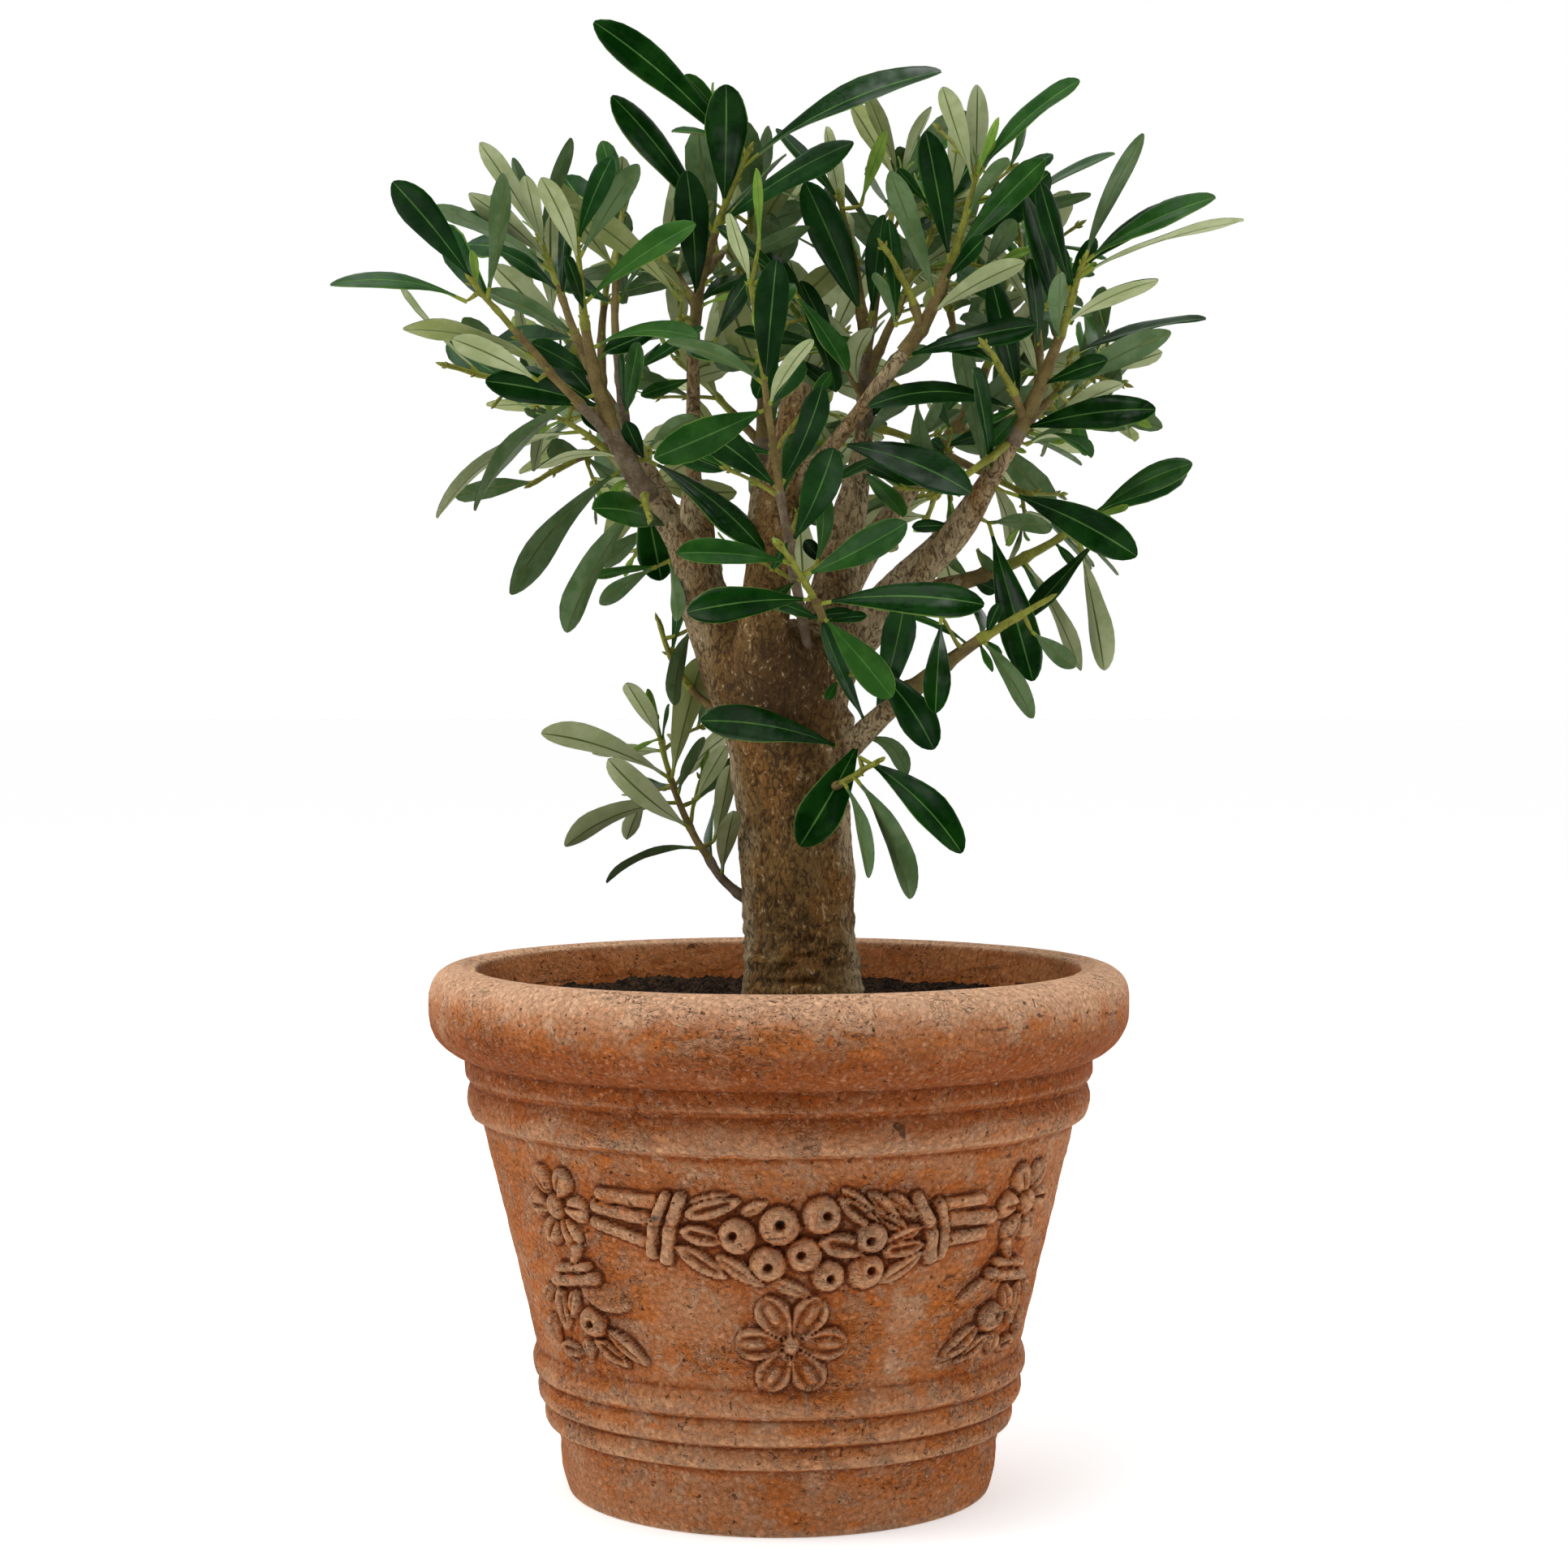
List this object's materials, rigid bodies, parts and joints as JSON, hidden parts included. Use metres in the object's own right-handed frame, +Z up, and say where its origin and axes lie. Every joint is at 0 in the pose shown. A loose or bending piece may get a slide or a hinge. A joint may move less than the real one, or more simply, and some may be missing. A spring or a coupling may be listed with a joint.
{
  "type": "olive bonsai",
  "caption": "Olive bonsai with a thick trunk and an open crown of narrow leaves, in a round terracotta pot with a raised garland, for a patio or table.",
  "frame": {"origin": "centre of the pot's flat underside", "axes": "+Z up along the pot's axis and the trunk, -Y towards the side that the picture shows, +X to its right"},
  "size_m": [0.407, 0.3616, 0.671],
  "materials": {
    "terracotta": "matt fired clay, mottled, with pale bloom",
    "soil": "rough dark potting soil",
    "bark": "rough grey-brown bark",
    "foliage": "leathery, dark glossy green above and pale grey-green below"
  },
  "bodies": {
    "root": {"pot": "terracotta", "soil": "soil", "trunk": "bark", "leader_stub": "bark", "bough_centre_front": "bark", "bough_centre_rear": "bark", "bough_left": "bark", "bough_left_rear": "bark", "bough_low_right": "bark", "bough_rear": "bark", "bough_rear_left": "bark", "bough_rear_right": "bark", "bough_right": "bark", "bough_right_low": "bark", "centre_crown": "foliage", "front_shoot": "foliage", "front_spray": "foliage", "left_crown": "foliage", "left_low_spray": "foliage", "left_rear_crown": "foliage", "low_front_spray": "foliage", "low_right_crown": "foliage", "rear_crown": "foliage", "rear_left_crown": "foliage", "rear_right_crown": "foliage", "right_crown": "foliage", "right_low_crown": "foliage", "sprout": "foliage", "top_right_crown": "foliage"}
  },
  "joints": []
}
